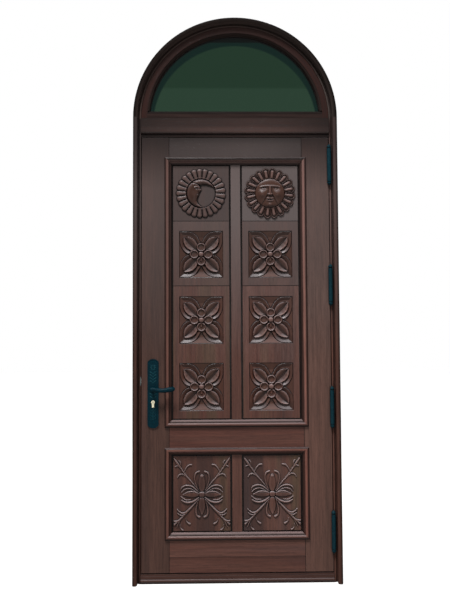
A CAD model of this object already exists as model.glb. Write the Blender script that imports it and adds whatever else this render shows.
import math

import bpy
import numpy as np
from mathutils import Matrix, Vector


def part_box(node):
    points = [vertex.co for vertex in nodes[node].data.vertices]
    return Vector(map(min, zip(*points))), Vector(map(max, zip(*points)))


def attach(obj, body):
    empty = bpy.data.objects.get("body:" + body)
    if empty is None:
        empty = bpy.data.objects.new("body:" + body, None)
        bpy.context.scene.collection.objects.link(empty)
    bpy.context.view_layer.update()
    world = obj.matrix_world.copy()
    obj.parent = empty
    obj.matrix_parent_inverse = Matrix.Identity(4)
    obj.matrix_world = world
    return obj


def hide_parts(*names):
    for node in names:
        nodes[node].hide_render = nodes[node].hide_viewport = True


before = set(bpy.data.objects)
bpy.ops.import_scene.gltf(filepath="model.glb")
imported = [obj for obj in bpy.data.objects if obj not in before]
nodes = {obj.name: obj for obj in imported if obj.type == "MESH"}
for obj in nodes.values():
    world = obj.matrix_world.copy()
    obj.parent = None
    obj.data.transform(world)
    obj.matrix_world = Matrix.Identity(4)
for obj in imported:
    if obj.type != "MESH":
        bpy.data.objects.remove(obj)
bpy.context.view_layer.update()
mm = 0.001
print("frame loaded:", len(nodes), "nodes")

# camera and studio

photoView = {
    "lens": 46.08,             # for a 36 mm long side
    "place": (-0.1207, -3.6802, 1.1098),
    "yaw": 1.063,              # degrees, to the right of +Y
    "pitch": 3.371,            # degrees, upwards
    "roll": -0.29,
}


def makeCamera(settings):
    yaw, pitch, roll = (math.radians(settings[k]) for k in ("yaw", "pitch", "roll"))
    forward = Vector((math.sin(yaw) * math.cos(pitch), math.cos(yaw) * math.cos(pitch), math.sin(pitch)))
    level = Vector((math.cos(yaw), -math.sin(yaw), 0))
    upright = level.cross(forward)
    right = level * math.cos(roll) + upright * math.sin(roll)
    up = upright * math.cos(roll) - level * math.sin(roll)
    data = bpy.data.cameras.new("photoCamera")
    data.sensor_width = 36
    data.lens = settings["lens"]
    data.clip_end = 100
    camera = bpy.data.objects.new("photoCamera", data)
    turn = Matrix((right, up, -forward)).transposed()
    camera.matrix_world = Matrix.Translation(settings["place"]) @ turn.to_4x4()
    bpy.context.scene.collection.objects.link(camera)
    bpy.context.scene.camera = camera


studio = {
    "floorSize": 60.0,
    "floorColour": (0.34, 0.34, 0.33, 1),
    "floorRoughness": 0.9,
    "floorShine": 0.1,
    "floorGlow": 0.92,         # seen by the camera, in gloss and through glass
    "worldLight": 0.11,
    "worldSeen": 1.0,          # seen in the same ways
    "white": (1, 1, 1, 1),
    "lamps": [                 # name, place, aimed at, width, height, watts
        ("skyPanel", (-1.3, -4.7, 9.2), (0.0, 0.0, 1.2), 3.0, 2.2, 1080),
        ("frontPanel", (0.5, -3.4, 1.35), (0.0, 0.0, 1.25), 1.2, 0.9, 14),
        ("backFill", (0.0, 4.2, 3.2), (0.0, 0.0, 1.3), 3.0, 2.0, 110),
    ],
}


def makeLamp(name, place, target, width, height, watts):
    data = bpy.data.lights.new(name, "AREA")
    data.shape = "RECTANGLE"
    data.size, data.size_y, data.energy = width, height, watts
    lamp = bpy.data.objects.new(name, data)
    lamp.location = place
    lamp.rotation_euler = (Vector(target) - Vector(place)).to_track_quat("-Z", "Y").to_euler()
    bpy.context.scene.collection.objects.link(lamp)


def setSeen(tree, low, high, target):
    # a strength: high for rays from the camera, in gloss or through glass, low for the rest
    path = tree.nodes.new("ShaderNodeLightPath")
    seen = path.outputs["Is Camera Ray"]
    for label in ("Is Glossy Ray", "Is Transmission Ray"):
        either = tree.nodes.new("ShaderNodeMath")
        either.operation = "MAXIMUM"
        tree.links.new(seen, either.inputs[0])
        tree.links.new(path.outputs[label], either.inputs[1])
        seen = either.outputs[0]
    level = tree.nodes.new("ShaderNodeMapRange")
    level.inputs["To Min"].default_value = low
    level.inputs["To Max"].default_value = high
    tree.links.new(seen, level.inputs["Value"])
    tree.links.new(level.outputs["Result"], target)


def makeStudio(settings):
    scene = bpy.context.scene
    scene.view_settings.view_transform = "Standard"
    world = bpy.data.worlds.new("studioWorld")
    scene.world = world
    world.use_nodes = True
    back = world.node_tree.nodes["Background"]
    back.inputs["Color"].default_value = settings["white"]
    setSeen(world.node_tree, settings["worldLight"], settings["worldSeen"], back.inputs["Strength"])
    half = settings["floorSize"] / 2
    corners = [(-half, -half, 0), (half, -half, 0), (half, half, 0), (-half, half, 0)]
    mesh = bpy.data.meshes.new("studioFloor")
    mesh.from_pydata(corners, [], [(0, 1, 2, 3)])
    floor = bpy.data.objects.new("studioFloor", mesh)
    scene.collection.objects.link(floor)
    paint = bpy.data.materials.new("paleFloor")
    paint.use_nodes = True
    shader = paint.node_tree.nodes["Principled BSDF"]
    shader.inputs["Base Color"].default_value = settings["floorColour"]
    shader.inputs["Roughness"].default_value = settings["floorRoughness"]
    shader.inputs["Specular IOR Level"].default_value = settings["floorShine"]
    shader.inputs["Emission Color"].default_value = settings["white"]
    setSeen(paint.node_tree, 0.0, settings["floorGlow"], shader.inputs["Emission Strength"])
    mesh.materials.append(paint)
    for lamp in settings["lamps"]:
        makeLamp(*lamp)


makeCamera(photoView)
makeStudio(studio)
print("camera and studio placed")

# finishes


def scaled(colour, factor):
    return tuple(c * factor for c in colour)


def grey(level):
    return (level, level, level, 1)


class Shading:
    def __init__(self, name):
        self.material = bpy.data.materials.new(name)
        self.material.use_nodes = True
        self.tree = self.material.node_tree
        self.shader = self.tree.nodes["Principled BSDF"]

    def add(self, kind, **values):
        node = self.tree.nodes.new("ShaderNode" + kind)
        for key, value in values.items():
            setattr(node, key, value)
        return node

    def link(self, output, target):
        self.tree.links.new(output, target)

    def drive(self, label, output):
        self.link(output, self.shader.inputs[label])

    def where(self, source="Object"):
        return self.add("TexCoord").outputs[source]

    def parts(self, source="Object"):
        # X, Y and Z of the object's own place or normal
        node = self.add("SeparateXYZ")
        self.link(self.where(source), node.inputs[0])
        return node.outputs

    def attribute(self, label):
        return self.add("Attribute", attribute_name=label).outputs["Fac"]

    def sums(self, operation, first, second=0.5):
        node = self.add("Math", operation=operation)
        for slot, value in zip(node.inputs, (first, second)):
            if isinstance(value, (int, float)):
                slot.default_value = value
            else:
                self.link(value, slot)
        return node.outputs[0]

    def distance(self, first, second):
        squares = [self.sums("POWER", value, 2.0) for value in (first, second)]
        return self.sums("SQRT", self.sums("ADD", *squares))

    def noise(self, vector, scale, detail, roughness, distortion=0.0):
        node = self.add("TexNoise")
        node.inputs["Scale"].default_value = scale
        node.inputs["Detail"].default_value = detail
        node.inputs["Roughness"].default_value = roughness
        node.inputs["Distortion"].default_value = distortion
        self.link(vector, node.inputs["Vector"])
        return node.outputs["Fac"]

    def span(self, value, low, high, toLow=0.0, toHigh=1.0):
        node = self.add("MapRange")
        for key, number in zip(("From Min", "From Max", "To Min", "To Max"), (low, high, toLow, toHigh)):
            node.inputs[key].default_value = number
        self.link(value, node.inputs["Value"])
        return node.outputs["Result"]

    def mix(self, factor, first, second, blend="MIX"):
        node = self.add("Mix", data_type="RGBA", blend_type=blend)
        for slot, value in ((node.inputs[0], factor), (node.inputs[6], first), (node.inputs[7], second)):
            if isinstance(value, (int, float)):
                slot.default_value = value
            elif isinstance(value, tuple):
                slot.default_value = (*value, 1)
            else:
                self.link(value, slot)
        return node.outputs[2]

    def coat(self, colour, value, reach, most, paint):
        # lays a paint over a colour, none at the reach's first value and most at its second
        return self.mix(self.span(value, *reach, 0.0, most), colour, paint)

    def bump(self, height, distance, strength):
        node = self.add("Bump")
        node.inputs["Distance"].default_value = distance
        node.inputs["Strength"].default_value = strength
        self.link(height, node.inputs["Height"])
        self.link(node.outputs["Normal"], self.shader.inputs["Normal"])

    def fixed(self, **values):
        for key, value in values.items():
            self.shader.inputs[key.replace("_", " ")].default_value = value


mahogany = {
    "colours": {
        "dark": (0.014, 0.0090, 0.0086),
        "mid": (0.062, 0.0275, 0.0205),
        "light": (0.116, 0.056, 0.043),
        "bleached": (0.092, 0.075, 0.073),
        "ledge": (0.205, 0.180, 0.187),      # where faces look up
        "stain": (0.044, 0.0185, 0.0120),    # richer stain left in the carving
        "olive": (0.066, 0.043, 0.026),
        "smoke": (0.034, 0.0270, 0.0290),    # blotches of the old finish
    },
    "redness": (1, -0.35, -0.5),    # how red, green and blue follow a wood's redness
    # noise across the grain: scale per metre, detail, roughness, distortion
    "bands": (15.0, 4, 0.6, 0.4),
    "streaks": (120.0, 5, 0.65, 0.3),
    "pores": (900.0, 2, 0.5),
    "staves": (13.0, 1, 0.4, 0.2),
    "blotches": (7.0, 3, 0.6, 0.8),
    # the values between which each shows, how strongly, and how deep the dark under it is
    "bandsSpan": (0.30, 0.72), "bandsMix": 0.66,
    "streaksSpan": (0.34, 0.68), "streaksMix": 0.50, "streaksRelief": 0.4,
    "poresSpan": (0.60, 0.72), "poresMix": 0.55,
    "oliveSpan": (0.52, 0.60),
    "staveSpan": (0.44, 0.38), "staveMix": 0.8, "staveDeep": 1.5,
    "blotchSpan": (0.54, 0.70), "blotchMix": 0.45,
    "stretch": 0.045,               # along the grain
    "shiftWay": (1.7, 0.9, 3.1),    # so that no two woods share their grain
    "bloomRise": (1.05, 1.72),      # heights over which the greyer bloom sets in
    "shadeRise": (1.86, 2.10), "shadeDeep": 0.5,    # heights over which the wood darkens under the head
    "carvedSlope": (0.20, 0.52), "plainSlope": (0.12, 0.75),
    "downSlope": (-0.12, -0.75), "downMix": 0.6,
    "hollowSpan": (0.10, 0.75), "hollowMix": 0.92, "hollowDeep": 0.3,
    "rubbedSpan": (-0.10, -1.0), "rubbedMix": 0.60, "rubbedLight": 0.95, "rubbedLedge": 0.22,
    "jointReach": (0.0034, 0.0014), "jointMix": 0.9, "jointDeep": 0.3,
    "quirkReach": 0.016, "quirkSamples": 8,    # how far from a corner its dark line shows
    "quirkSpan": (0.72, 0.20), "quirkMix": 0.88, "quirkDeep": 0.25,
    "frontSpan": (-0.30, -0.05), "sideFactor": 0.8,    # faces to the front show the section, others this
    "glossSpan": (-0.05, 0.10),
    "bump": (0.0004, 0.55),
    "archHeight": 2.203,
    "arcRadius": 0.45,
}


def grainPlace(shade, along, shift):
    # turns the place so that its Z runs along the grain
    place = shade.where()
    if along == "arc":
        parts = shade.parts()
        rise = shade.sums("SUBTRACT", parts["Z"], mahogany["archHeight"])
        turn = shade.sums("MULTIPLY", shade.sums("ARCTAN2", rise, parts["X"]), mahogany["arcRadius"])
        joined = shade.add("CombineXYZ")
        for slot, value in zip(joined.inputs, (shade.distance(parts["X"], rise), parts["Y"], turn)):
            shade.link(value, slot)
        place = joined.outputs[0]
    mapping = shade.add("Mapping")
    mapping.inputs["Location"].default_value = scaled(mahogany["shiftWay"], shift)
    if along == "x":
        mapping.inputs["Rotation"].default_value = (0, math.pi / 2, 0)
    shade.link(place, mapping.inputs["Vector"])
    squeeze = shade.add("Mapping")
    squeeze.inputs["Scale"].default_value = (1, 1, mahogany["stretch"])
    shade.link(mapping.outputs[0], squeeze.inputs["Vector"])
    return squeeze.outputs[0]


def sectionShade(shade, axis, stops):
    # a factor that follows a moulding's section: across X or Z, or the reach from the arch's middle
    parts = shade.parts()
    if axis == "reach":
        rise = shade.sums("SUBTRACT", parts["Z"], mahogany["archHeight"])
        value = shade.distance(parts["X"], shade.sums("MAXIMUM", rise, 0.0))
    else:
        value = parts[axis]
    stops = sorted(stops)
    low, high = stops[0][0], stops[-1][0]
    node = shade.add("ValToRGB")
    ramp = node.color_ramp
    ramp.elements[0].color = grey(stops[0][1])
    ramp.elements[1].color = grey(stops[-1][1])
    for place, factor in stops[1:-1]:
        ramp.elements.new((place - low) / (high - low)).color = grey(factor)
    shade.link(shade.span(value, low, high), node.inputs[0])
    turned = shade.span(shade.parts("Normal")["Y"], *mahogany["frontSpan"])
    return shade.mix(turned, node.outputs["Color"], (mahogany["sideFactor"],) * 3)


def makeWood(name, along="z", shift=0.0, tone=1.0, red=0.0, bloom=0.5, shaded=0.0, carved=0.0, gloss=0.34,
             section=(), staves=0.0, ledge=0.35, ends=0.0, shine=0.11):
    m = mahogany
    shade = Shading(name)
    place = grainPlace(shade, along, shift)
    parts = shade.parts()
    bands, streaks, pores = (shade.span(shade.noise(place, *m[key]), *m[key + "Span"])
                             for key in ("bands", "streaks", "pores"))
    paint = {key: scaled(colour, tone) for key, colour in m["colours"].items()}
    deep, lift = paint["dark"], paint["light"]
    body = tuple(c * (1 + red * k) for c, k in zip(paint["mid"], m["redness"]))
    colour = shade.mix(shade.sums("MULTIPLY", bands, m["bandsMix"]), body, lift)
    if staves:                 # glued staves of other hues
        patch = shade.noise(place, *m["staves"])
        colour = shade.coat(colour, patch, m["oliveSpan"], staves, paint["olive"])
        shown = staves * m["staveMix"]
        colour = shade.coat(colour, patch, m["staveSpan"], shown, scaled(deep, m["staveDeep"]))
    blotch = shade.noise(place, *m["blotches"])
    colour = shade.coat(colour, blotch, m["blotchSpan"], m["blotchMix"], paint["smoke"])
    for pattern, share in ((streaks, m["streaksMix"]), (pores, m["poresMix"])):
        colour = shade.mix(shade.sums("MULTIPLY", pattern, share), colour, deep)
    if bloom:
        colour = shade.coat(colour, parts["Z"], m["bloomRise"], bloom, paint["bleached"])
    if shaded:
        colour = shade.coat(colour, parts["Z"], m["shadeRise"], shaded, scaled(deep, m["shadeDeep"]))
    if carved:
        colour = shade.mix(shade.sums("MULTIPLY", shade.attribute("stain"), carved), colour, paint["stain"])
    if ledge:                  # faces that look up are bleached, those that look down stay dark
        up = shade.parts("Normal")["Z"]
        colour = shade.coat(colour, up, m["carvedSlope" if carved else "plainSlope"], ledge, paint["ledge"])
        colour = shade.coat(colour, up, m["downSlope"], m["downMix"], deep)
    if carved:
        hollow = shade.attribute("hollow")
        colour = shade.coat(colour, hollow, m["hollowSpan"], m["hollowMix"], scaled(deep, m["hollowDeep"]))
        rubbed = tuple(c * m["rubbedLight"] + d * m["rubbedLedge"] for c, d in zip(lift, paint["ledge"]))
        colour = shade.coat(colour, hollow, m["rubbedSpan"], m["rubbedMix"], rubbed)
    if ends:                   # the open shoulder joint at a rail's ends
        away = shade.sums("ABSOLUTE", parts["X"])
        reach = [ends - back for back in m["jointReach"]]
        colour = shade.coat(colour, away, reach, m["jointMix"], scaled(deep, m["jointDeep"]))
    for axis, stops in section:
        colour = shade.mix(1.0, colour, sectionShade(shade, axis, stops), "MULTIPLY")
    nook = shade.add("AmbientOcclusion", samples=m["quirkSamples"])
    nook.inputs["Distance"].default_value = m["quirkReach"]
    openness = nook.outputs["AO"]
    colour = shade.coat(colour, openness, m["quirkSpan"], m["quirkMix"], scaled(deep, m["quirkDeep"]))
    shade.drive("Base Color", colour)
    shade.drive("Roughness", shade.span(streaks, 0.0, 1.0, *(gloss + more for more in m["glossSpan"])))
    shade.fixed(Specular_IOR_Level=shine)
    relief = shade.sums("SUBTRACT", shade.sums("MULTIPLY", streaks, m["streaksRelief"]), pores)
    shade.bump(relief, *m["bump"])
    return shade.material


blackIron = {
    "dark": (0.0003, 0.0112, 0.0175),
    "pale": (0.0012, 0.0232, 0.0340),
    "hingeDark": (0.0025, 0.0170, 0.0240),
    "hingePale": (0.0070, 0.0350, 0.0470),
    "rubbedDark": (0.0030, 0.0280, 0.0380),
    "rubbedPale": (0.0100, 0.0540, 0.0680),
    "hammer": (160.0, 4, 0.6),      # scale per metre, detail, roughness
    "grain": (1400.0, 2, 0.5), "grainRelief": 0.35,
    "paleSpan": (0.35, 0.7),
    "glossSpan": (0.3, 0.7, 0.30, 0.48),
    "shine": 0.05,
    "bump": (0.0005, 0.5),
}


def makeIron(name, dark, pale):
    s = blackIron
    shade = Shading(name)
    blotch, grain = (shade.noise(shade.where(), *s[key]) for key in ("hammer", "grain"))
    shade.drive("Base Color", shade.mix(shade.span(blotch, *s["paleSpan"]), dark, pale))
    shade.drive("Roughness", shade.span(blotch, *s["glossSpan"]))
    shade.fixed(Specular_IOR_Level=s["shine"])
    shade.bump(shade.sums("ADD", shade.sums("MULTIPLY", grain, s["grainRelief"]), blotch), *s["bump"])
    return shade.material


brushedMetal = {
    "stretch": (1, 1, 0.06),
    "brush": (1800.0, 3, 0.6),
    "span": (0.3, 0.7),
    "glossSpan": (-0.06, 0.08),
    "bump": (0.00008, 0.4),
}


def makeMetal(name, dark, pale, roughness, metallic=1.0):
    s = brushedMetal
    shade = Shading(name)
    place = shade.add("Mapping")
    place.inputs["Scale"].default_value = s["stretch"]
    shade.link(shade.where(), place.inputs["Vector"])
    brushed = shade.noise(place.outputs[0], *s["brush"])
    shade.drive("Base Color", shade.mix(shade.span(brushed, *s["span"]), dark, pale))
    shade.drive("Roughness", shade.span(brushed, *s["span"], *(roughness + more for more in s["glossSpan"])))
    shade.fixed(Metallic=metallic)
    shade.bump(brushed, *s["bump"])
    return shade.material


tintedGlass = {
    "low": (0.0036, 0.0088, 0.0052),
    "high": (0.0023, 0.0066, 0.0036),
    "edge": (0.0003, 0.0026, 0.0020),
    "changeHeight": (2.356, 2.366),
    "edgeReach": (0.394, 0.401),    # from a middle below the arch's own
    "edgeDrop": 0.030,
    "ripple": (6.0, 2, 0.5),
    "bump": (0.001, 0.15),
}


def makeGlass(name):
    s = tintedGlass
    shade = Shading(name)
    parts = shade.parts()
    rise = shade.sums("SUBTRACT", parts["Z"], mahogany["archHeight"] - s["edgeDrop"])
    colour = shade.mix(shade.span(parts["Z"], *s["changeHeight"]), s["low"], s["high"])
    colour = shade.mix(shade.span(shade.distance(parts["X"], rise), *s["edgeReach"]), colour, s["edge"])
    shade.drive("Base Color", colour)
    shade.fixed(Roughness=0.03, Specular_IOR_Level=0.2, Transmission_Weight=0.85, IOR=1.2)
    shade.bump(shade.noise(shade.where(), *s["ripple"]), *s["bump"])
    return shade.material


sections = {                   # place in metres and the factor there
    "leftJamb": [(-0.430, 1.0), (-0.455, 0.95), (-0.463, 0.55), (-0.469, 0.95), (-0.477, 0.9), (-0.483, 0.5),
                 (-0.490, 0.35)],
    "rightJamb": [(0.430, 1.0), (0.459, 1.0), (0.465, 0.6), (0.470, 0.85), (0.477, 0.75), (0.483, 0.4),
                  (0.490, 0.25)],
    "hingeStile": [(0.05, 1.0), (0.60, 1.0), (1.20, 0.90), (1.80, 0.83), (2.11, 0.83)],
    "bottomLower": [(0.05, 1.0), (0.108, 1.0), (0.117, 0.8), (0.123, 0.5)],
    "arch": [(0.400, 0.30), (0.440, 0.32), (0.446, 0.55), (0.452, 0.85), (0.465, 1.0), (0.470, 0.5),
             (0.476, 0.22), (0.484, 0.12), (0.490, 0.10)],
    "transom": [(2.094, 0.45), (2.113, 0.6), (2.124, 0.8), (2.132, 0.6), (2.141, 1.0), (2.150, 1.0),
                (2.166, 0.66), (2.196, 0.52), (2.203, 0.42)],
    "transomSheen": [(-0.46, 0.42), (-0.34, 0.62), (-0.10, 0.85), (0.08, 1.0), (0.20, 0.92), (0.32, 0.7),
                     (0.46, 0.4)],
    "topRail": [(1.994, 0.95), (2.03, 1.0), (2.06, 0.94), (2.08, 0.82), (2.095, 0.6), (2.110, 0.45)],
    "topRailSheen": [(-0.32, 0.72), (-0.15, 0.85), (0.05, 1.0), (0.18, 0.95), (0.32, 0.75)],
    "sashRail": [(2.204, 0.7), (2.216, 0.85), (2.223, 0.9), (2.230, 0.3), (2.244, 0.2)],
}
shoulder = {"ends": 0.320}     # half the length of a rail between the stiles
woodRows = {                   # grain, shift, tone, redness, bloom, shade at the head; section's axis; others
    "leftJamb": (("z", 0.3, 1.14, 0.0, 0.75, 0.5), "X", {"shine": 0.03}),
    "rightJamb": (("z", 0.8, 1.72, 0.0, 0.35, 0.5), "X", {"shine": 0.03}),
    "arch": (("arc", 1.1, 1.24, -0.35, 0.35), "reach", {"ledge": 0.0, "shine": 0.01}),
    "sash": (("arc", 2.3, 0.27, 0.65, 0.0), None, {"ledge": 0.0}),
    "sashRail": (("x", 2.9, 0.36, 0.20, 0.2), "Z", {"ledge": 0.0, "gloss": 0.8}),
    "transom": (("x", 3.7, 0.80, 0.10, 0.30), "Z", {"ledge": 0.0}),
    "threshold": (("x", 4.2, 0.95, 0.05, 0.0), None, {}),
    "lockStile": (("z", 5.9, 1.16, -0.10, 0.46, 0.84), None, {}),
    "hingeStile": (("z", 6.4, 1.72, -0.12, 0.36, 0.88), "Z", {}),
    "topRail": (("x", 7.7, 0.74, 0.0, 0.80), "Z", shoulder),
    "rail": (("x", 8.3, 1.34, 0.20, 0.0), None, shoulder),
    "bottomUpper": (("x", 8.8, 1.70, 0.10, 0.0), None, shoulder),
    "bottomLower": (("x", 9.1, 1.46, 0.12, 0.0), "Z", shoulder),
    "muntin": (("z", 10.6, 1.36, 0.10, 0.85, 0.1), None, {}),
}
woods = {}
for key, (row, axis, more) in woodRows.items():
    section = [(axis, sections[key])] if axis else []
    if key + "Sheen" in sections:
        section.append(("X", sections[key + "Sheen"]))
    woods[key] = makeWood(key + "Wood", *row, section=section, **more)

mouldings = {                  # mm from the outer edge and the factor there: dark quirks, pale bead and bevel
    "left": [(0, 0.08), (4, 0.10), (8, 0.6), (13, 1.0), (17, 0.95), (21, 0.4), (24, 0.15), (28, 0.35),
             (31, 0.08), (34, 0.03)],
    "right": [(0, 0.3), (4, 0.06), (8, 0.3), (12, 0.9), (16, 1.0), (20, 0.9), (23, 0.2), (26, 0.25),
              (29, 0.06), (34, 0.03)],
    "top": [(0, 0.2), (4, 0.06), (7, 0.3), (12, 0.9), (18, 1.0), (23, 0.5), (28, 0.2), (34, 0.1)],
    "bottom": [(0, 0.08), (4, 0.12), (8, 0.4), (14, 0.8), (19, 0.9), (23, 0.25), (26, 0.3), (30, 0.9),
               (34, 0.6)],
    "upperTop": [(0, 0.2), (4, 0.06), (11, 0.03), (14, 0.1), (18, 0.65), (22, 1.0), (26, 0.5), (30, 0.2),
                 (34, 0.1)],
    "tones": {"left": 2.0, "right": 2.9, "top": 3.6, "bottom": 1.9},
    "shift": 11.3, "shiftStep": 0.7, "lowerShift": 2.1,
    "wood": (0.18, 0.25, 0.2),      # redness, bloom, shade near the head
}


def mouldingWood(node, rail, side):
    s = mouldings
    low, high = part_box(node)
    outer, way, axis = {"left": (low.x, 1, "X"), "right": (high.x, -1, "X"),
                        "top": (high.z, -1, "Z"), "bottom": (low.z, 1, "Z")}[side]
    bead = s["upperTop" if (rail, side) == ("upper", "top") else side]
    stops = [(outer + way * place * mm, factor) for place, factor in bead]
    shift = s["shift"] + len(node) * s["shiftStep"] + (s["lowerShift"] if rail == "lower" else 0.0)
    grain = "z" if axis == "X" else "x"
    return makeWood(node + "Wood", grain, shift, s["tones"][side], *s["wood"], section=[(axis, stops)])


iron = makeIron("blackIron", blackIron["dark"], blackIron["pale"])
hingeIron = makeIron("hingeIron", blackIron["hingeDark"], blackIron["hingePale"])
rubbedIron = makeIron("rubbedIron", blackIron["rubbedDark"], blackIron["rubbedPale"])
steel = makeMetal("lockSteel", (0.34, 0.33, 0.31), (0.55, 0.54, 0.51), 0.32)
dullSteel = makeMetal("dullSteel", (0.05, 0.065, 0.066), (0.13, 0.15, 0.15), 0.42)
brass = makeMetal("cylinderBrass", (0.62, 0.56, 0.38), (0.80, 0.75, 0.56), 0.30, 0.55)
glass = makeGlass("fanlightGlass")
print("finishes made")

# solids that keep their form

finishes = {
    "left_jamb": woods["leftJamb"], "right_jamb": woods["rightJamb"], "arch_head": woods["arch"],
    "transom": woods["transom"], "threshold": woods["threshold"],
    "fanlight_sash_arch": woods["sash"], "fanlight_bead_arch": woods["arch"],
    "fanlight_sash_rail": woods["sashRail"], "fanlight_bead_rail": woods["sashRail"],
    "fanlight_glass": glass, "lock_stile": woods["lockStile"], "hinge_stile": woods["hingeStile"],
    "top_rail": woods["topRail"], "lock_rail": woods["rail"],
    "bottom_rail_upper": woods["bottomUpper"], "bottom_rail_lower": woods["bottomLower"],
    "upper_muntin": woods["muntin"], "lower_muntin": woods["muntin"],
    "upper_back_beads": woods["muntin"], "lower_back_beads": woods["muntin"],
    "cylinder_body": brass, "key_plug": brass, "back_plug": brass,
    "strike_plate": dullSteel, "lock_forend": dullSteel,
}
for rail in ("upper", "lower"):
    for side in ("left", "right", "top", "bottom"):
        node = f"{rail}_moulding_{side}"
        finishes[node] = mouldingWood(node, rail, side)
for name in ("front_plate", "back_plate", "front_lever", "back_lever"):
    finishes[name] = iron
for part in ("frame", "leaf"):
    for i in range(1, 5):
        finishes[f"{part}_hinge_{i}"] = hingeIron

easedEdges = {"width": 0.0015, "segments": 2, "angle": 40, "weld": 0.00001}


def dress(name, material):
    node = nodes[name]
    node.data.materials.clear()
    node.data.materials.append(material)


def easeEdges(name):
    node = nodes[name]
    weld = node.modifiers.new("weld", "WELD")
    weld.merge_threshold = easedEdges["weld"]
    bevel = node.modifiers.new("easedEdge", "BEVEL")
    bevel.width = easedEdges["width"]
    bevel.segments = easedEdges["segments"]
    bevel.limit_method = "ANGLE"
    bevel.angle_limit = math.radians(easedEdges["angle"])
    bevel.harden_normals = False


for name in nodes:
    dress(name, finishes.get(name, steel))
for name in ("lock_stile", "hinge_stile", "top_rail", "lock_rail", "bottom_rail_upper", "bottom_rail_lower",
             "upper_muntin", "lower_muntin"):
    easeEdges(name)
print("solids dressed")

# carving helpers: heights in mm over a grid, u to the right and v up from the middle


def rounded(away, half):
    return np.sqrt(np.clip(1 - (away / half) ** 2, 0, 1))


def eased(value, low, high):
    t = np.clip((value - low) / (high - low), 0, 1)
    return t * t * (3 - 2 * t)


def faded(value, most, low, high):
    return most * eased(value, low, high)


def bell(away, half):
    return np.exp(-(away / half) ** 2)


def swells(u, v, rows):
    # smooth rises and dips, each with its height, middle and radii
    return sum(rise * bell(u - x, across) * bell(v - y, up) for rise, (x, y), (across, up) in rows)


def inlaid(edge, groove, top, low, around):
    # a form set into what is round it, with a groove along its edge
    return np.where(edge > 0, top, np.where(edge > -groove, low, around))


def ringPlace(u, v, count, phase):
    # place along and across the nearest petal of a ring, and the slope of a petal's side
    sector = 2 * math.pi / count
    off = np.abs(np.mod(np.arctan2(v, u) + math.radians(phase), sector) - sector / 2)
    r = np.hypot(u, v)
    return r * np.cos(off), r * np.sin(off), math.tan(sector / 2)


def curve(points, steps=8):
    ends = [points[0], *points, points[-1]]
    path = []
    for a, b, c, d in zip(ends, ends[1:], ends[2:], ends[3:]):
        for k in range(steps):
            t = k / steps
            path.append(tuple(0.5 * (2 * q + (r - p) * t + (2 * p - 5 * q + 4 * r - s) * t * t
                                     + (3 * q - p - 3 * r + s) * t ** 3) for p, q, r, s in zip(a, b, c, d)))
    return path + [tuple(points[-1])]


def along(u, v, path):
    # distance to a path and the share of its length at the nearest point
    lengths = [math.dist(a, b) for a, b in zip(path, path[1:])]
    whole = sum(lengths)
    best = np.full(u.shape, 1e9)
    share = np.zeros(u.shape)
    done = 0.0
    for (ax, ay), (bx, by), length in zip(path, path[1:], lengths):
        if length < 1e-6:
            continue
        t = np.clip(((u - ax) * (bx - ax) + (v - ay) * (by - ay)) / length ** 2, 0, 1)
        away = np.hypot(u - ax - t * (bx - ax), v - ay - t * (by - ay))
        near = away < best
        best = np.where(near, away, best)
        share = np.where(near, (done + t * length) / whole, share)
        done += length
    return best, share


def depthInside(u, v, path):
    # distance from a closed outline, positive inside it
    inside = np.zeros(u.shape, bool)
    for (ax, ay), (bx, by) in zip(path, path[1:] + path[:1]):
        if ay != by:
            inside ^= ((ay > v) != (by > v)) & (u < (bx - ax) * (v - ay) / (by - ay) + ax)
    away = along(u, v, path + path[:1])[0]
    return np.where(inside, away, -away)


def stroke(u, v, points, halves, rise):
    # a rounded stem, its half width easing from one end to the other
    away, share = along(u, v, curve(points))
    half = np.interp(share, np.linspace(0, 1, len(halves)), halves)
    return rise * rounded(away, half)


petalForm = {"belly": 0.8, "bluntness": 0.6, "fullness": 0.8, "thinnest": 0.001}


def petal(u, v, base, tip, half, rise):
    # a smooth leaf, full in the middle
    s = petalForm
    length = math.dist(base, tip)
    du, dv = (tip[0] - base[0]) / length, (tip[1] - base[1]) / length
    t = (u - base[0]) * du + (v - base[1]) * dv
    w = np.abs((v - base[1]) * du - (u - base[0]) * dv)
    bulge = np.sin(math.pi * np.clip(t / length, 0, 1) ** s["belly"])
    width = half * np.clip(bulge, s["thinnest"], 1) ** s["bluntness"]
    return np.where((t > 0) & (t < length), rise * rounded(w, width) ** s["fullness"], 0)


# sun

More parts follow.
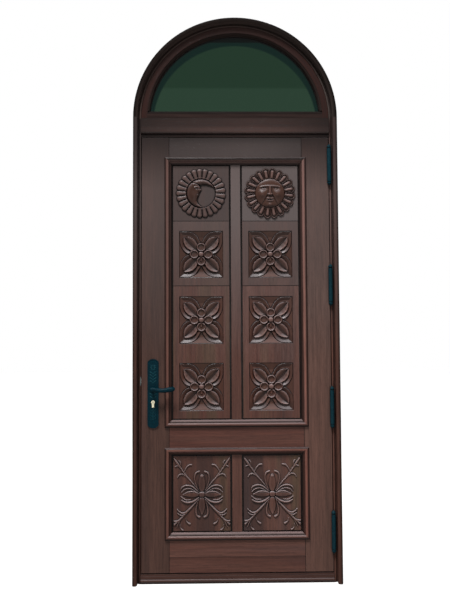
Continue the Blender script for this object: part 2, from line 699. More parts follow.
sunCarving = {
    "petals": 20, "phase": 16.0, "inner": 72.0, "tip": 106.0, "tipRound": 16.2, "gap": 0.97,
    "rim": 1.9, "rimRise": 7.8, "channel": 3.4,
    "ridge": 9.2, "ridgeRise": 10.8, "ridgeBack": 2.0, "ridgeFullness": 1.4,
    "face": 71.5, "dome": 16.0, "domeReach": 72.5, "domeFullness": 0.7, "faceLeast": 1.0,
    "swells": [                # rise, middle and radii, for u > 0
        (-6.5, (31, 22.5), (15, 7.5)), (4.6, (31, 20), (11, 4.2)),      # eye
        (3.4, (9, -8), (4.4, 3.8)), (6.5, (37, -6), (19, 17)),          # nostril and cheek
        (3.6, (7, -27), (9, 3.6)), (4.4, (0, -38), (13, 4.2)),          # lips
        (5.5, (0, -57), (16, 9)),                                       # chin
    ],
    "creases": [               # rise, half width, height, bend, middle, where it ends and is full
        (3.4, 4.0, 33, -0.0022, 0, 54, 44),        # brow
        (-1.8, 1.3, 19.5, 0, 31, 12, 8),           # eyelid
        (-4.4, 1.6, -32.5, 0.004, 0, 20, 14),      # mouth
    ],
    "noseTop": 31, "noseLength": 42, "noseHalf": (4.5, 6.0), "noseRise": (5.5, 4.5),    # and its growth
    "noseFoot": (-13, -9), "noseRoot": (36, 28),
    "fold": [(12, -11), (24, -33), (40, -60)], "foldDepth": 4.2, "foldHalf": 2.8, "foldFade": 0.5,
    "faceStain": 1.0, "petalStain": 0.85, "stainPast": 1.0,
    "glow": (-0.8, 76, 88), "glowHalf": 7.36, "groove": (0.8, 2.2, 0.6), "grooveIn": 4.6,
}


def sunHeights(u, v, s):
    r, a = np.hypot(u, v), np.abs(u)
    t, w, slope = ringPlace(u, v, s["petals"], s["phase"])
    side = t * slope * s["gap"] - w
    end = s["tipRound"] - np.hypot(t - s["tip"], w)
    edge = np.minimum(np.where(t > s["tip"], np.minimum(end, side), side), t - s["inner"])
    rim = s["rimRise"] * rounded(edge - s["rim"], s["rim"])
    floor = np.where(edge > s["rim"], s["channel"], 0)
    reach = np.hypot(np.maximum(t - s["tip"] + s["ridgeBack"], 0), w)
    ridge = s["ridgeRise"] * rounded(reach, s["ridge"]) ** s["ridgeFullness"]
    petals = np.where(edge > 0, np.maximum(np.maximum(rim, floor), ridge), 0)
    face = s["dome"] * rounded(r, s["domeReach"]) ** s["domeFullness"] + swells(a, v, s["swells"])
    for rise, half, height, bend, middle, end, full in s["creases"]:
        face += rise * bell(v - height - bend * a * a, half) * eased(np.abs(a - middle), end, full)
    nose = np.clip((s["noseTop"] - v) / s["noseLength"], 0, 1)
    half, rise = (start + growth * nose for start, growth in (s["noseHalf"], s["noseRise"]))
    face += rise * rounded(a, half) * eased(v, *s["noseFoot"]) * eased(v, *s["noseRoot"])
    fold, share = along(a, v, s["fold"])
    face -= s["foldDepth"] * bell(fold, s["foldHalf"]) * (1 - share * s["foldFade"])
    petalStain = np.where(edge > -s["stainPast"], s["petalStain"], 0)
    stain = np.where(r < s["face"], s["faceStain"], petalStain)
    glow = faded(t, *s["glow"]) * rounded(reach, s["glowHalf"])
    groove = faded(np.abs(edge - s["grooveIn"]), *s["groove"])
    shadow = np.where((edge > 0) & (r > s["face"]), groove + glow, 0)
    return np.where(r < s["face"], np.maximum(face, s["faceLeast"]), petals), stain, shadow


# moon

moonCarving = {
    "petals": 25, "phase": 0.0, "inner": 72.0, "tip": 119.0, "rise": 9.4, "fullness": 0.8,
    "lip": 75.0, "lipHalf": 3.5, "lipRise": 7.2,
    "crescent": 69.0, "arcPoints": 41, "cushion": 13.0, "cushionRun": 18.0, "bodyLeast": 0.5,
    "profile": [(63, 24), (48, 36), (26, 42), (8, 42), (-7, 38), (-5, 33), (-4, 26), (3.5, 15), (-4, 9),
                (-6, 5), (-8, 2), (-7, -2), (-10, -5), (-9, -9), (-14, -14), (-17, -25), (-19, -38),
                (-14, -50), (-2, -62), (14, -71)],
    "swells": [                # cheek, eye and lid
        (3.4, (-34, -10), (16, 18)), (-4.0, (-17, 20), (9, 4.2)), (3.4, (-18, 18.5), (6.5, 2.6)),
    ],
    "lines": [                 # rise, half width and course of the brow, hood, mouth and nostril
        (2.4, 3.0, [(-6, 26), (-17, 30), (-31, 27)]), (-3.4, 2.4, [(-7, 38), (-22, 46), (-42, 52)]),
        (-3.0, 1.7, [(-7, -3), (-19, -6)]), (-2.4, 1.8, [(-9, 10), (-13, 7), (-11, 2)]),
    ],
    "crescentStain": 1.0, "petalStain": 0.25, "stainFrom": 0.2,
    "groove": (0.8, 0.62, 0.97), "glow": (-0.7, 80, 92), "glowEnd": (116, 106), "glowHalf": 0.32,
}


def moonHeights(u, v, s):
    t, w, slope = ringPlace(u, v, s["petals"], s["phase"])
    half = np.maximum(t, 1) * slope
    tip = s["tip"] - half
    past = np.hypot(np.maximum(t - tip, 0), w)
    lobe = s["rise"] * rounded(np.where(t > tip, past, w), half) ** s["fullness"]
    lip = s["lipRise"] * rounded(np.hypot(u, v) - s["lip"], s["lipHalf"])
    heights = np.maximum(np.where(t > s["inner"], lobe, 0), lip)
    first, last = (math.atan2(z, x) for x, z in (s["profile"][0], s["profile"][-1]))
    outline = [(s["crescent"] * math.cos(turn), s["crescent"] * math.sin(turn))
               for turn in np.linspace(first, last + 2 * math.pi, s["arcPoints"])]
    depth = depthInside(u, v, outline + s["profile"][-2:0:-1])
    run = np.clip(depth / s["cushionRun"], 0, 1)
    body = s["cushion"] * rounded(1 - run, 1) + swells(u, v, s["swells"])
    for rise, width, points in s["lines"]:
        body += rise * bell(along(u, v, curve(points))[0], width)
    petalStain = np.where(heights > s["stainFrom"], s["petalStain"], 0)
    groove = np.where((t > s["inner"]) & (heights > 0), faded(w / half, *s["groove"]), 0)
    glow = faded(t, *s["glow"]) * eased(t, *s["glowEnd"]) * bell(w, s["glowHalf"] * half)
    body = np.maximum(body, s["bodyLeast"])
    forms = ((body, heights), (s["crescentStain"], petalStain), (0, groove + glow))
    return tuple(np.where(depth > 0, crescent, around) for crescent, around in forms)


# flower in a sunk square

flowerCarving = {
    "half": (105.5, 113.0), "wallRun": 1.4, "wallDark": (0.9, 4.2, 1.2),
    "sunk": 9.0, "brink": 1.0, "groundRun": 32.0, "groundCut": (0.8, 2.2, 0.6), "groundStain": 1.0,
    "groundDark": (0.75, 2.6, 0.8), "groundLight": (0.7, -82, -100),
    "groove": 1.3, "grooveFloor": -9.4, "grooveDark": 0.6,
    "top": [(3, 58), (9, 70), (19, 87), (32, 100), (50, 108), (72, 110.5), (103, 110)],     # backing leaf
    "side": [(103, 110), (103, 67), (98, 40), (86, 19), (71, 6.5), (53, 1)],
    "bandEdge": -0.4, "bandFlat": 2.0, "bandFall": 8.0, "bandRun": 15.0, "bandEase": 2.4, "bandStain": 0.85,
    "bandDark": (0.9, 3.2, 1.6), "bandDarkRise": (-45, -25), "bandLow": (0.38, -60, -85),
    "leafAlong": (14, 30, 44, 64, 84, 102, 112, 117), "leafHalf": (9, 16, 21, 27, 26.5, 18, 8, 0.1),
    "leafRim": 2.6, "leafValley": -7.5, "leafPower": 1.05, "leafEdge": (3.0, 2.6, 0), "leafStain": 0.75,
    "vein": (2.2, 100, 82), "veinStart": (26, 42), "veinHalf": 1.5,
    "heart": 0.62, "heartHalf": 0.30, "leafGlow": -1.6, "leafGlowIn": 5.0, "leafGlowHalf": 3.4,
    "outerDark": 0.8, "outerEdge": (2.8, 1.2), "outerRise": (-20, 10),
    "cup": 33.5, "cupReach": 21.5, "cupRim": 3.8, "ring": 3.3, "ringFullness": 0.5, "bowl": -4.2,
    "tongue": 6.0, "tongueTop": 1.0, "tongueBack": 2.0,
    "quirk": 0.4, "quirkHalf": 1.8, "ringGlow": -0.7, "ringGlowHalf": 2.4,
    "boss": 14.0, "bossTop": 6.5, "bossFullness": 0.7, "bossGlow": -1.6,
}


def flowerHeights(u, v, s):
    a, b = np.abs(u), np.abs(v)
    low, groove = s["grooveFloor"], s["groove"]
    inside = np.minimum(s["half"][0] - a, s["half"][1] - b)
    ground = -s["brink"] - (s["sunk"] - s["brink"]) * np.clip(inside / s["groundRun"], 0, 1)
    outline = curve(s["top"]) + curve(s["side"])[1:]
    away = along(a, b, outline)[0]
    within = depthInside(a, b, outline + [(0, 0)]) > 0
    band = s["bandEdge"] - s["bandFall"] * np.clip((away - s["bandFlat"]) / s["bandRun"], 0, 1)
    bandDark = faded(away, *s["bandDark"]) * eased(v, *s["bandDarkRise"])
    bandDark = np.maximum(bandDark, faded(v, *s["bandLow"]))
    line = np.where(within, bandDark, faded(away, *s["groundDark"]) - faded(v, *s["groundLight"]))
    walled = within | (v > s["groundLight"][1]) | (inside < s["wallDark"][1])
    shadow = np.where(walled, np.maximum(line, faded(inside, *s["wallDark"])), line)
    stain = np.where(within, s["bandStain"], s["groundStain"])
    rise = np.where(within, ground + (band - ground) * eased(away, 0, s["bandEase"]),
                    ground - faded(away, *s["groundCut"]))
    t, w = (a + b) / math.sqrt(2), np.abs(b - a) / math.sqrt(2)
    half = np.interp(t, s["leafAlong"], s["leafHalf"])
    edge = np.where((t > s["leafAlong"][0]) & (t < s["leafAlong"][-1]), half - w, -np.inf)
    leaf = s["leafValley"] + (s["leafRim"] - s["leafValley"]) * np.clip(w / half, 0, 1) ** s["leafPower"]
    leaf += faded(t, *s["vein"]) * eased(t, *s["veinStart"]) * bell(w, s["veinHalf"])
    leaf -= faded(edge, *s["leafEdge"])
    dark = s["heart"] * bell(w, s["heartHalf"] * half)
    dark += s["leafGlow"] * bell(edge - s["leafGlowIn"], s["leafGlowHalf"])
    dark += (s["outerDark"] - dark) * eased(edge, *s["outerEdge"]) * eased(v, *s["outerRise"])
    rise = inlaid(edge, groove, leaf, low, rise)
    shadow = inlaid(edge, groove, dark, s["grooveDark"], shadow)
    stain = np.where(edge > 0, s["leafStain"], stain)
    for du, dv in ((1, 0), (-1, 0), (0, 1), (0, -1)):
        edge = s["cupReach"] - np.hypot(u - du * s["cup"], v - dv * s["cup"])
        ring = low + (s["cupRim"] - low) * rounded(edge - s["ring"], s["ring"]) ** s["ringFullness"]
        bowl = s["bowl"] * (1 - (1 - edge / s["cupReach"]) ** 2)
        if dv < 0:             # the drop in the lowest cup
            reach = np.hypot(np.maximum(b - s["cup"] + s["tongueBack"], 0), u)
            bowl = np.maximum(bowl, s["bowl"] + (s["tongueTop"] - s["bowl"]) * rounded(reach, s["tongue"]))
        dark = s["quirk"] * bell(edge - 2 * s["ring"], s["quirkHalf"])
        dark += s["ringGlow"] * bell(edge - s["ring"], s["ringGlowHalf"])
        rise = inlaid(edge, groove, np.maximum(ring, bowl), low, rise)
        shadow = inlaid(edge, groove, dark, s["grooveDark"], shadow)
        stain = np.where(edge > 0, s["leafStain"], stain)
    r = np.hypot(u, v)
    boss = low + (s["bossTop"] - low) * rounded(r, s["boss"]) ** s["bossFullness"]
    rise = inlaid(s["boss"] - r, groove, boss, low, rise) * eased(inside, 0, s["wallRun"])
    shadow = np.where(r < s["boss"], s["bossGlow"], shadow)
    stain = np.where(r < s["boss"], s["leafStain"], stain)
    return tuple(np.where(inside > 0, grid, 0) for grid in (rise, stain, shadow))


# spray of the lower panels

sprayCarving = {
    "boss": 14.8, "bossRise": 8.5, "bossFullness": 0.7, "bossLeast": 1.0, "stain": 0.25, "stainFrom": 0.2,
    "stems": [                 # points, half widths, rise, for u > 0
        ([(17, 20), (30, 36), (50, 60), (72, 84), (88, 106), (98, 122)], (1.6, 2.2, 3.0, 3.6, 3.2), 4.8),
        ([(96, 118), (112, 140), (130, 166)], (2.6, 6.0, 3.4), 5.8),
        ([(86, 100), (76, 120), (62, 136), (50, 138)], (1.6, 2.4, 3.0, 3.6), 5.2),
        ([(76, 86), (92, 95), (106, 91), (114, 79)], (1.6, 2.6, 3.2, 2.4), 5.2),
        ([(98, 122), (112, 134), (124, 130)], (1.8, 3.0, 2.6), 5.2),
        ([(100, 128), (101, 146), (108, 158)], (1.8, 2.8, 2.2), 4.8),
        ([(20, 24), (31, 55), (34, 82), (27, 100), (14, 106)], (1.8, 2.4, 2.8, 3.4, 4.4), 5.8),
        ([(16, -26), (25, -55), (28, -80), (23, -98), (12, -105)], (1.6, 2.6, 3.6, 5.0, 5.4), 6.6),
        ([(18, 14), (46, 37), (74, 42), (94, 33), (99, 20)], (2.0, 3.0, 3.4, 3.2, 2.2), 6.2),
        ([(24, 11), (54, 27), (80, 24), (96, 11)], (1.6, 2.4, 2.6, 2.0), 4.8),
        ([(16, 6), (40, 13.5), (62, 12.5), (84, 3)], (1.8, 3.2, 3.4, 1.6), 8.4),
        ([(15, -14), (38, -31), (62, -37), (82, -34), (94, -27)], (2.4, 4.6, 5.6, 5.0, 3.0), 7.8),
        ([(52, -24), (76, -25), (98, -10)], (1.6, 2.6, 2.2), 4.8),
        ([(16, -22), (34, -42), (56, -66), (78, -90), (104, -116), (132, -142)],
         (2.4, 3.6, 4.8, 3.6, 3.8, 5.2), 6.2),
        ([(58, -66), (76, -82), (94, -86), (108, -78), (116, -69)], (2.6, 3.8, 4.2, 3.4, 2.2), 6.8),
        ([(68, -80), (86, -94), (102, -95), (113, -87)], (2.0, 3.4, 3.8, 2.6), 6.2),
        ([(98, -112), (116, -122), (132, -124)], (2.0, 3.6, 4.2), 6.2),
        ([(100, -116), (112, -136), (118, -152)], (2.0, 3.2, 2.4), 5.2),
        ([(76, -112), (72, -126), (58, -137)], (1.4, 2.6, 5.0), 6.2),
        ([(104, -140), (100, -156), (90, -166)], (1.2, 2.4, 4.2), 5.6),
    ],
    "petals": [                # base, tip, half width and rise, for u >= 0
        ((0, 12), (0, 95), 17, 6.2), ((0, -12), (0, -94), 17, 6.8), ((12, 0), (90, 0), 14, 6.4),
    ],
    "beads": [((0, 84), 8.5, 8.6)],
}


def sprayHeights(u, v, s):
    a = np.abs(u)
    rise = np.zeros(u.shape)
    for base, tip, half, height in s["petals"]:
        rise = np.maximum(rise, petal(a, v, base, tip, half, height))
    for points, halves, height in s["stems"]:
        rise = np.maximum(rise, stroke(a, v, points, halves, height))
    for middle, radius, height in s["beads"]:
        rise = np.maximum(rise, height * rounded(np.hypot(a - middle[0], v - middle[1]), radius))
    r = np.hypot(u, v)
    boss = np.maximum(s["bossRise"] * rounded(r, s["boss"]) ** s["bossFullness"], s["bossLeast"])
    rise = np.where(r < s["boss"], boss, rise)
    return rise, np.where(rise > s["stainFrom"], s["stain"], 0), 0 * u


# carved boards

carvings = {                   # form, settings, mm between grid lines; blur that finds hollows, their depth
    "sun": (sunHeights, sunCarving, 1.3, 4, 3.8),
    "moon": (moonHeights, moonCarving, 1.3, 4, 2.4),
    "flower": (flowerHeights, flowerCarving, 1.5, 3, 9.0),
    "spray": (sprayHeights, sprayCarving, 1.3, 4, 3.0),
}
boards = {                     # carving, its middles; shift, tone, redness, bloom, stain, staves, ledges
    "moon_board": ("moon", [0.0], 20.4, 0.86, 0.05, 0.65, 0.95, 0.1, 0.60),
    "sun_board": ("sun", [0.0], 21.9, 1.20, 0.05, 0.95, 0.95, 0.1, 0.40),
    "left_flower_board": ("flower", [-4.5], 22.7, 1.14, 0.10, 0.6, 0.85, 0.25, 0.85),
    "right_flower_board": ("flower", [-4.5], 23.1, 1.20, 0.12, 0.6, 0.85, 0.2, 0.85),
    "left_double_board": ("flower", [-166.0, 151.5], 24.6, 1.28, 0.14, 0.35, 0.6, 0.55, 0.85),
    "right_double_board": ("flower", [-166.0, 151.5], 25.8, 1.44, 0.14, 0.35, 0.6, 0.3, 0.85),
    "left_lower_panel": ("spray", [-5.0], 26.3, 1.34, 0.06, 0.0, 0.5, 0.6, 0.80),
    "right_lower_panel": ("spray", [-5.0], 27.5, 1.52, 0.06, 0.0, 0.5, 0.75, 0.80),
}
boardShape = {
    "inner": 0.0168, "outer": 0.0278, "end": 0.0278,    # tongue past the carved field
    "tongue": 0.012, "overlap": 0.002,                  # how far behind the face, how deep the field enters
    "edgeRun": (0.5, 3.0),     # mm over which the carving dies out at the field's edge
    "joint": (2.8, 0.2),       # mm of the dark edge between two boards
    "jointDepth": 0.4,
    "sharp": 42,               # degrees
    "gloss": 0.28,
}


def fieldOf(name):
    # low and high of a board's field across and up, from its box
    s = boardShape
    low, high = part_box(name)
    nearMiddle = low.x > 0
    x0 = low.x + s["inner" if nearMiddle else "outer"]
    x1 = high.x - s["outer" if nearMiddle else "inner"]
    z0 = low.z + (s["end"] if "double" in name or "panel" in name else 0)
    z1 = high.z - (s["end"] if "sun" in name or "moon" in name or "panel" in name else 0)
    return [value / mm for value in (x0, x1, z0, z1)]


def blurred(heights, steps):
    soft = heights
    for axis in (0, 1):
        for turn in range(2):
            pads = [(0, 0), (0, 0)]
            pads[axis] = (steps, steps)
            sums = np.cumsum(np.pad(soft, pads, mode="edge"), axis=axis)
            wide = 2 * steps + 1
            first = np.take(sums, [wide - 1], axis=axis)
            rest = np.take(sums, range(wide, sums.shape[axis]), axis=axis)
            rest = rest - np.take(sums, range(sums.shape[axis] - wide), axis=axis)
            soft = np.concatenate([first, rest], axis=axis) / wide
    return soft


def boxShell(low, high, start):
    x0, y0, z0 = low
    x1, y1, z1 = high
    points = [(x0, y0, z0), (x1, y0, z0), (x1, y0, z1), (x0, y0, z1),
              (x0, y1, z0), (x1, y1, z0), (x1, y1, z1), (x0, y1, z1)]
    faces = [(0, 1, 2, 3), (4, 7, 6, 5), (0, 4, 5, 1), (3, 2, 6, 7), (0, 3, 7, 4), (1, 5, 6, 2)]
    return points, [tuple(k + start for k in face) for face in faces]


def addPiece(name, mesh, body, replaced=None):
    piece = bpy.data.objects.new(name, mesh)
    bpy.context.scene.collection.objects.link(piece)
    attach(piece, body)
    if replaced:
        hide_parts(replaced)


def makeBoard(name):
    s = boardShape
    kind, middles, shift, tone, red, bloom, carved, staves, ledge = boards[name]
    shapeOf, settings, step, soften, hollowDepth = carvings[kind]
    x0, x1, z0, z1 = fieldOf(name)
    wide, tall = x1 - x0, z1 - z0
    us, vs = (np.linspace(0, length, round(length / step) + 1) for length in (wide, tall))
    u, v = np.meshgrid(us, vs, indexing="ij")
    heights, stain, shadow = np.zeros((3, *u.shape))
    for middle in middles:
        shape, depth, dark = shapeOf(u - wide / 2, v - tall / 2 - middle, settings)
        heights = np.where(np.abs(shape) > np.abs(heights), shape, heights)
        stain = np.maximum(stain, depth)
        shadow = np.where(np.abs(dark) > np.abs(shadow), dark, shadow)
    edge = np.minimum(np.minimum(u, wide - u), np.minimum(v, tall - v))
    heights = heights * eased(edge, *s["edgeRun"])
    hollow = np.clip((blurred(heights, soften) - heights) / hollowDepth + shadow, -1, 1)
    if kind != "spray":        # the open joint with the next board
        below = np.inf if "double" in name else v
        above = tall - v if kind == "flower" else np.inf
        joint = eased(np.minimum(below, above), *s["joint"])
        heights = heights - s["jointDepth"] * joint
        hollow = np.where(joint > 0, np.maximum(hollow, joint), hollow)
    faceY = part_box("upper_muntin")[0].y
    tongueY = faceY + s["tongue"]
    points = np.stack([(u + x0) * mm, faceY - heights * mm, (v + z0) * mm], -1).reshape(-1, 3).tolist()
    count = len(points)
    index = np.arange(count).reshape(u.shape)
    quads = np.stack([index[:-1, :-1], index[1:, :-1], index[1:, 1:], index[:-1, 1:]], -1).reshape(-1, 4)
    faces = quads.tolist()
    back = tongueY + s["overlap"]
    points += [(x * mm, back, z * mm) for x, z in ((x0, z0), (x1, z0), (x1, z1), (x0, z1))]
    a, b, c, d = range(count, count + 4)
    faces.append([a, b] + index[::-1, 0].tolist())
    faces.append([c, d] + index[:, -1].tolist())
    faces.append([d, a] + index[0, :].tolist())
    faces.append([b, c] + index[-1, ::-1].tolist())
    faces.append([a, d, c, b])
    low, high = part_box(name)
    more, moreFaces = boxShell((low.x, tongueY, low.z), high, count + 4)
    mesh = bpy.data.meshes.new(name + "Relief")
    mesh.from_pydata(points + more, [], faces + moreFaces)
    flags = np.zeros(len(mesh.polygons), bool)
    flags[:len(quads)] = True
    mesh.polygons.foreach_set("use_smooth", flags)
    mesh.set_sharp_from_angle(angle=math.radians(s["sharp"]))
    channel = np.array([1.0] * 8 + [0.0] * 4)      # dark in the channel round the field, plain on the back
    for label, grid, rest in (("hollow", hollow, channel), ("stain", blurred(stain, 1), 0 * channel)):
        values = mesh.attributes.new(label, "FLOAT", "POINT")
        values.data.foreach_set("value", np.concatenate([grid.ravel(), rest]))
    wood = makeWood(name + "Wood", "z", shift, tone, red, bloom, carved=carved, gloss=s["gloss"],
                    staves=staves, ledge=ledge)
    mesh.materials.append(wood)
    addPiece(name + "Relief", mesh, "leaf", name)


for name in boards:
    makeBoard(name)
print("boards carved")

# closed shells for the small ironwork, gathered into one mesh a piece


class Shells:
    def __init__(self):
        self.points = []
        self.faces = []

    def rings(self, rings):
        # joins rings of equal count, wound so that the outside is to the left of each ring's run
        start = len(self.points)
        count = len(rings[0])
        for ring in rings:
            self.points.extend(tuple(point) for point in ring)
        for i in range(len(rings) - 1):
            for k in range(count):
                q = (k + 1) % count
                a, b = start + i * count, start + (i + 1) * count
                self.faces.append((a + k, a + q, b + q, b + k))
        last = start + (len(rings) - 1) * count
        self.faces.append(tuple(start + k for k in reversed(range(count))))
        self.faces.append(tuple(last + k for k in range(count)))

    def finish(self, name, body, material, sharp, replaced=None):
        mesh = bpy.data.meshes.new(name)
        mesh.from_pydata([scaled(point, mm) for point in self.points], [], self.faces)
        mesh.polygons.foreach_set("use_smooth", [True] * len(mesh.polygons))
        mesh.set_sharp_from_angle(angle=math.radians(sharp))
        mesh.materials.append(material)
        addPiece(name, mesh, body, replaced)


def tube(shells, path, radii, sides):
    # a round bar along a path of 3-D points
    path = [Vector(point) for point in path]
    turns = [2 * math.pi * k / sides for k in range(sides)]
    side = (path[1] - path[0]).normalized().orthogonal()
    rings = []
    for i, (point, radius) in enumerate(zip(path, radii)):
        way = (path[min(i + 1, len(path) - 1)] - path[max(i - 1, 0)]).normalized()
        side = (side - way * side.dot(way)).normalized()
        other = way.cross(side)
        rings.append([point + (side * math.cos(t) + other * math.sin(t)) * radius for t in turns])
    shells.rings(rings)


domeForm = {"sides": 18, "levels": 5, "sunk": 0.6, "crown": 0.05}


def dome(shells, middle, radii, rise, face, turn=0.0):
    # a low oval boss on a face that looks along -Y or +Y
    s = domeForm
    x, y, z = middle
    cosine, sine = math.cos(math.radians(turn)), math.sin(math.radians(turn))
    levels = [(1.0, -s["sunk"])]
    for level in range(s["levels"] + 1):
        up = level / s["levels"] * math.pi / 2
        levels.append((max(math.cos(up), s["crown"]), rise * math.sin(up)))
    rings = []
    for size, height in levels:
        ring = []
        for k in range(s["sides"]):
            t = -face * 2 * math.pi * k / s["sides"]
            a, b = radii[0] * size * math.cos(t), radii[1] * size * math.sin(t)
            ring.append((x + a * cosine - b * sine, y + face * height, z + a * sine + b * cosine))
        rings.append(ring)
    shells.rings(rings)


# levers

leverShape = {
    "axis": (-395.0, 905.0), "reach": 103.0, "swing": 5.0, "thick": 22.0, "standoff": 49.9, "turnIn": 10.0,
    "neck": 9.0, "seat": 0.2, "steps": 5, "sides": 32, "sharp": 50,
    "shares": [                # along the reach, of the swing and of the thickness
        (-0.12, 0, 0.45), (-0.08, 0, 0.8), (0.06, -0.15, 0.98), (0.22, -0.7, 0.95), (0.4, -1, 0.92),
        (0.56, -0.9, 0.95), (0.72, -0.4, 1.05), (0.88, 0.1, 1.1), (0.97, 0.2, 0.85), (1, 0.2, 0.45),
    ],
    "neckShares": [(0.0, 1.0), (0.05, 1.0), (0.55, 0.94), (0.8, 0.97), (1.0, 0.9)],
    "bases": {"front_lever": (-25.0, -1), "back_lever": (20.0, 1)},    # Y of the plate's face and the way out
}


def makeLever(name):
    s = leverShape
    x, z = s["axis"]
    base, face = s["bases"][name]
    shells = Shells()
    stations = curve(s["shares"], s["steps"])
    middle = base + face * s["standoff"]
    path = [(x + a * s["reach"], middle - face * s["turnIn"] * max(a, 0) ** 4, z + b * s["swing"])
            for a, b, c in stations]
    tube(shells, path, [c * s["thick"] / 2 for a, b, c in stations], s["sides"])
    foot, tip = base + face * s["seat"], middle + face * s["thick"] / 4
    neck = [(x, foot + (tip - foot) * share, z) for share, size in s["neckShares"]]
    tube(shells, neck, [s["neck"] * size for share, size in s["neckShares"]], s["sides"])
    shells.finish(name + "Smooth", "levers", iron, s["sharp"], name)


for name in leverShape["bases"]:
    makeLever(name)

# ornament of the two plates

plateOrnament = {
    "middle": (-395.0, 884.0), "rise": 1.5, "lowRise": 1.2, "sharp": 45,
    "rosette": 122.0, "rosettePetals": 8, "rosetteReach": 9.5, "rosettePetal": (5.2, 3.0),
    "boss": (4.6, 4.6), "bossRise": 1.65,
    "leafRows": (98, 84, 70, 56, -4, -18), "leafSpread": 8.5, "leafTurn": 38, "leaf": (9.0, 3.2),
    "bud": (2.2, 5.0), "budDrop": 6,
    "scaleRows": (-72, -85, -98, -111), "scaleReach": (13.0, 10.4), "scaleSteps": 12, "scaleLift": 0.2,
    "scaleBar": 1.3, "scaleSides": 8, "scaleBoss": (3.0, 4.0), "scaleBossDrop": 4,
    "faces": {"frontPlate": (-30.0, -1), "backPlate": (25.0, 1)},    # Y of the plate's face and the way out
}


def ornamentPlate(name):
    s = plateOrnament
    x, z = s["middle"]
    faceY, face = s["faces"][name]
    shells = Shells()
    heart = z + s["rosette"]
    for k in range(s["rosettePetals"]):
        turn = 2 * math.pi * k / s["rosettePetals"]
        spot = (x + s["rosetteReach"] * math.cos(turn), faceY, heart + s["rosetteReach"] * math.sin(turn))
        dome(shells, spot, s["rosettePetal"], s["rise"], face, math.degrees(turn))
    dome(shells, (x, faceY, heart), s["boss"], s["bossRise"], face)
    for row in s["leafRows"]:
        for side in (-1, 1):
            spot = (x + side * s["leafSpread"], faceY, z + row)
            dome(shells, spot, s["leaf"], s["rise"], face, side * s["leafTurn"])
        dome(shells, (x, faceY, z + row - s["budDrop"]), s["bud"], s["lowRise"], face)
    across, down = s["scaleReach"]
    turns = [math.pi * k / s["scaleSteps"] for k in range(s["scaleSteps"] + 1)]
    for row in s["scaleRows"]:
        y = faceY + face * s["scaleLift"]
        arc = [(x + across * math.cos(t), y, z + row - down * math.sin(t)) for t in turns]
        tube(shells, arc, [s["scaleBar"]] * len(arc), s["scaleSides"])
        dome(shells, (x, faceY, z + row - s["scaleBossDrop"]), s["scaleBoss"], s["lowRise"], face)
    shells.finish(name + "Ornament", "leaf", rubbedIron, s["sharp"])


for name in plateOrnament["faces"]:
    ornamentPlate(name)
print("ironwork made")

# screws, placed by Geometry Nodes

screwSettings = {
    "radius": 0.0042, "proud": 0.0005, "slotWidth": 0.0011, "seed": 7,
    "sides": 24, "crown": 0.86, "slotLength": 1.5, "spin": 3.14,    # crown and slot in radii, most spin
    "leaf": [                  # place in mm and the way the head looks
        ((-395, -31.2, 1006), (0, -1, 0)), ((-395, -30, 745), (0, -1, 0)),
        ((-395, 26.2, 1006), (0, 1, 0)), ((-395, 25, 745), (0, 1, 0)),
        ((-450, -2.5, 782), (-1, 0, 0)), ((-450, -2.5, 993), (-1, 0, 0)),
    ],
    "frame": [((-453, -2.5, 852.5), (1, 0, 0)), ((-453, -2.5, 960), (1, 0, 0))],
    "hinges": (235, 815, 1395, 1975), "wingSteps": (22, 58), "wingY": -10.0,
    "wings": (("leaf", 450.0, 1), ("frame", 453.0, -1)),
}
for height in screwSettings["hinges"]:
    for step in screwSettings["wingSteps"]:
        for body, x, way in screwSettings["wings"]:
            spot = (x, screwSettings["wingY"], height + way * step)
            screwSettings[body].append((spot, (way, 0, 0)))


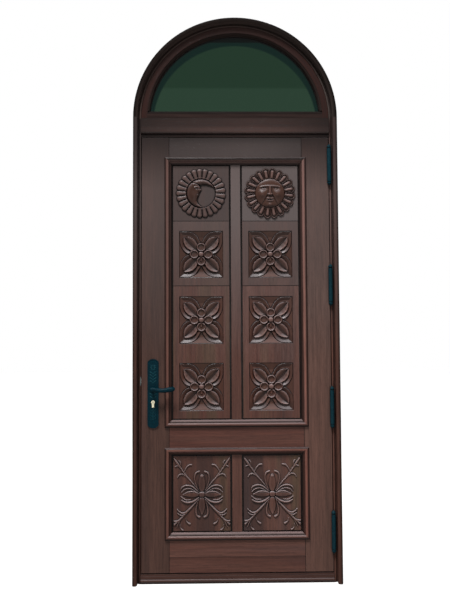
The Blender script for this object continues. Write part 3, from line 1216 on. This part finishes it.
def screwTree():
    s = screwSettings
    tree = bpy.data.node_groups.new("screwHeads", "GeometryNodeTree")
    tree.is_modifier = True
    sockets = [("Geometry", "Geometry"), ("Radius", "Float"), ("Proud", "Float"), ("Slot width", "Float"),
               ("Seed", "Int"), ("Material", "Material")]
    for label, kind in sockets:
        tree.interface.new_socket(label, in_out="INPUT", socket_type="NodeSocket" + kind)
    tree.interface.new_socket("Geometry", in_out="OUTPUT", socket_type="NodeSocketGeometry")

    def add(kind, inputs, **settings):
        node = tree.nodes.new(kind)
        for key, value in settings.items():
            setattr(node, key, value)
        for key, value in inputs.items():
            if isinstance(value, bpy.types.NodeSocket):
                tree.links.new(value, node.inputs[key])
            else:
                node.inputs[key].default_value = value
        return node.outputs

    def vector(**inputs):
        return add("ShaderNodeCombineXYZ", inputs)[0]

    def times(value, factor):
        return add("ShaderNodeMath", {0: value, 1: factor}, operation="MULTIPLY")[0]

    given = add("NodeGroupInput", {})
    radius, proud = given["Radius"], given["Proud"]
    cone = add("GeometryNodeMeshCone", {"Vertices": s["sides"], "Radius Top": times(radius, s["crown"]),
                                        "Radius Bottom": radius, "Depth": proud})["Mesh"]
    size = vector(X=times(radius, s["slotLength"]), Y=given["Slot width"], Z=proud)
    box = add("GeometryNodeMeshCube", {"Size": size})["Mesh"]
    slot = add("GeometryNodeTransform", {"Geometry": box, "Translation": vector(Z=proud)})["Geometry"]
    head = add("GeometryNodeMeshBoolean", {"Mesh 1": cone, "Mesh 2": slot}, operation="DIFFERENCE")["Mesh"]
    facing = add("GeometryNodeInputNamedAttribute", {"Name": "facing"}, data_type="FLOAT_VECTOR")["Attribute"]
    aligned = add("FunctionNodeAlignRotationToVector", {"Vector": facing})["Rotation"]
    spin = add("FunctionNodeRandomValue", {3: s["spin"], "Seed": given["Seed"]}, data_type="FLOAT")[1]
    turned = add("FunctionNodeRotateRotation", {"Rotation": aligned, "Rotate By": vector(Z=spin)},
                 rotation_space="LOCAL")["Rotation"]
    heads = add("GeometryNodeInstanceOnPoints", {"Points": given["Geometry"], "Instance": head,
                                                 "Rotation": turned})["Instances"]
    solid = add("GeometryNodeRealizeInstances", {"Geometry": heads})["Geometry"]
    painted = add("GeometryNodeSetMaterial", {"Geometry": solid, "Material": given["Material"]})["Geometry"]
    add("NodeGroupOutput", {"Geometry": painted})
    return tree


def placeScrews(tree, body, spots):
    mesh = bpy.data.meshes.new(body + "ScrewSpots")
    mesh.from_pydata([scaled(spot, mm) for spot, way in spots], [], [])
    ways = mesh.attributes.new("facing", "FLOAT_VECTOR", "POINT")
    ways.data.foreach_set("vector", [float(c) for spot, way in spots for c in way])
    piece = bpy.data.objects.new(body + "Screws", mesh)
    bpy.context.scene.collection.objects.link(piece)
    modifier = piece.modifiers.new("screwHeads", "NODES")
    modifier.node_group = tree
    values = {"Radius": screwSettings["radius"], "Proud": screwSettings["proud"],
              "Slot width": screwSettings["slotWidth"], "Seed": screwSettings["seed"], "Material": iron}
    for item in tree.interface.items_tree:
        if item.in_out == "INPUT" and item.name in values:
            modifier[item.identifier] = values[item.name]
    bpy.context.view_layer.update()
    done = bpy.data.meshes.new_from_object(piece.evaluated_get(bpy.context.evaluated_depsgraph_get()))
    piece.modifiers.clear()
    piece.data = done
    done.name = body + "Screws"
    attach(piece, body)
    print("screws on", body, len(done.polygons), "faces")


screws = screwTree()
for body in ("leaf", "frame"):
    placeScrews(screws, body, screwSettings[body])
